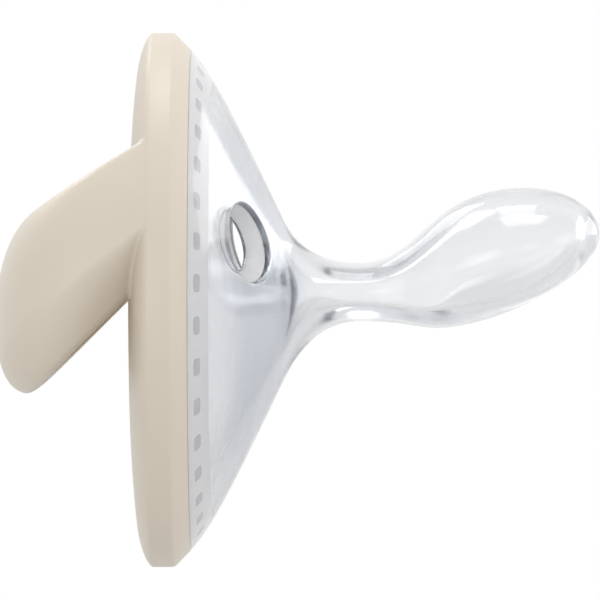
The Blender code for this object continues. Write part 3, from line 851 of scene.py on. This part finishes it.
plug_material = moulded_material("silicone_in_windows", PLUG_PAINTED_SHADE, SILICONE_FINISH, PLUG_RELIEF)
let_light_through(plug_material, PLUG_TRANSMISSION, PLUG_IOR)
plug_sheets = [window_plug(outer, inner) for outer, inner in zip(outer_cells, inner_cells)]
plugs = welded_piece("window_plugs", plug_sheets, plug_material, PLUG_SHARP_ANGLE)

# The stage is a pale floor below the object, a sky that is seen as white over the horizon, and soft lamps
# round the object. The sky that lights the object is darker from below.
FLOOR_DROP = 45 * MM
FLOOR_HALF = 0.25
FLOOR_CORNERS = ((-1, -1), (1, -1), (1, 1), (-1, 1))
FLOOR_COLOUR = (0.65, 0.65, 0.65)
FLOOR_ROUGHNESS = 0.9
LIGHTING_SKY = [(0, 0.55), (0.5, 0.78), (1, 1.06)]
SEEN_SKY = [(0, 0.82), (0.4, 0.82), (0.46, 1.0), (1, 1.0)]
floor_mesh = bpy.data.meshes.new("floor")
floor_mesh.from_pydata(
    [(x * FLOOR_HALF, y * FLOOR_HALF, -FLOOR_DROP) for x, y in FLOOR_CORNERS], [], [(0, 1, 2, 3)]
)
floor = bpy.data.objects.new("floor", floor_mesh)
bpy.context.scene.collection.objects.link(floor)
floor_material = bpy.data.materials.new("pale_floor")
floor_material.use_nodes = True
floor_shader = floor_material.node_tree.nodes["Principled BSDF"]
floor_shader.inputs["Base Color"].default_value = (*FLOOR_COLOUR, 1)
floor_shader.inputs["Roughness"].default_value = FLOOR_ROUGHNESS
floor_mesh.materials.append(floor_material)


def sky_levels(tree, stops):
    """Grey levels that change with the height of a direction, from straight down (0) to straight up (1)."""
    nodes, link = tree.nodes, tree.links.new
    place, split = nodes.new("ShaderNodeTexCoord"), nodes.new("ShaderNodeSeparateXYZ")
    half, ramp = nodes.new("ShaderNodeMapRange"), nodes.new("ShaderNodeValToRGB")
    half.inputs["From Min"].default_value = -1
    while len(ramp.color_ramp.elements) < len(stops):
        ramp.color_ramp.elements.new(0.5)
    for element, (height, level) in zip(ramp.color_ramp.elements, stops):
        element.position = height
        element.color = (level, level, level, 1)
    link(place.outputs["Generated"], split.inputs[0])
    link(split.outputs["Z"], half.inputs["Value"])
    link(half.outputs["Result"], ramp.inputs["Fac"])
    return ramp.outputs["Color"]


def studio_sky():
    """A world that lights by one set of levels, and shows another directly, in gloss and through walls."""
    world = bpy.data.worlds.new("studio")
    world.use_nodes = True
    nodes, link = world.node_tree.nodes, world.node_tree.links.new
    path = nodes.new("ShaderNodeLightPath")
    seen_or_glossy, seen = nodes.new("ShaderNodeMath"), nodes.new("ShaderNodeMath")
    seen_or_glossy.operation = "ADD"
    seen.operation = "ADD"
    seen.use_clamp = True
    sky = nodes.new("ShaderNodeMix")
    sky.data_type = "RGBA"
    link(path.outputs["Is Camera Ray"], seen_or_glossy.inputs[0])
    link(path.outputs["Is Glossy Ray"], seen_or_glossy.inputs[1])
    link(seen_or_glossy.outputs[0], seen.inputs[0])
    link(path.outputs["Is Transmission Ray"], seen.inputs[1])
    link(seen.outputs[0], sky.inputs["Factor"])
    link(sky_levels(world.node_tree, LIGHTING_SKY), sky.inputs["A"])
    link(sky_levels(world.node_tree, SEEN_SKY), sky.inputs["B"])
    link(sky.outputs["Result"], nodes["Background"].inputs["Color"])
    return world


def soft_lamp(name, place, width, height, power):
    """A rectangular area lamp that faces the middle of the object."""
    lamp = bpy.data.objects.new(name, bpy.data.lights.new(name, "AREA"))
    bpy.context.scene.collection.objects.link(lamp)
    lamp.data.shape = "RECTANGLE"
    lamp.data.size = width
    lamp.data.size_y = height
    lamp.data.energy = power
    lamp.location = place
    lamp.rotation_euler = (-lamp.location).to_track_quat("-Z", "Y").to_euler()


bpy.context.scene.world = studio_sky()
soft_lamp("overhead", place=(0.0, 0.06, 0.4), width=0.14, height=0.2, power=0.35)
soft_lamp("right_fill", place=(0.4, -0.15, -0.02), width=0.3, height=0.3, power=0.35)
soft_lamp("back_right", place=(0.39, 0.31, 0.1), width=0.3, height=0.2, power=0.35)
soft_lamp("back_left", place=(-0.2, 0.35, 0.3), width=0.2, height=0.2, power=0.25)
soft_lamp("front_fill", place=(-0.15, -0.45, 0.03), width=0.2, height=0.2, power=0.25)

bpy.context.scene.view_settings.view_transform = "Standard"

# Light crosses many clear walls before it leaves the silicone, so it may turn more often than usual.
bpy.context.scene.cycles.max_bounces = 40
bpy.context.scene.cycles.diffuse_bounces = 12
bpy.context.scene.cycles.glossy_bounces = 24
bpy.context.scene.cycles.transmission_bounces = 40
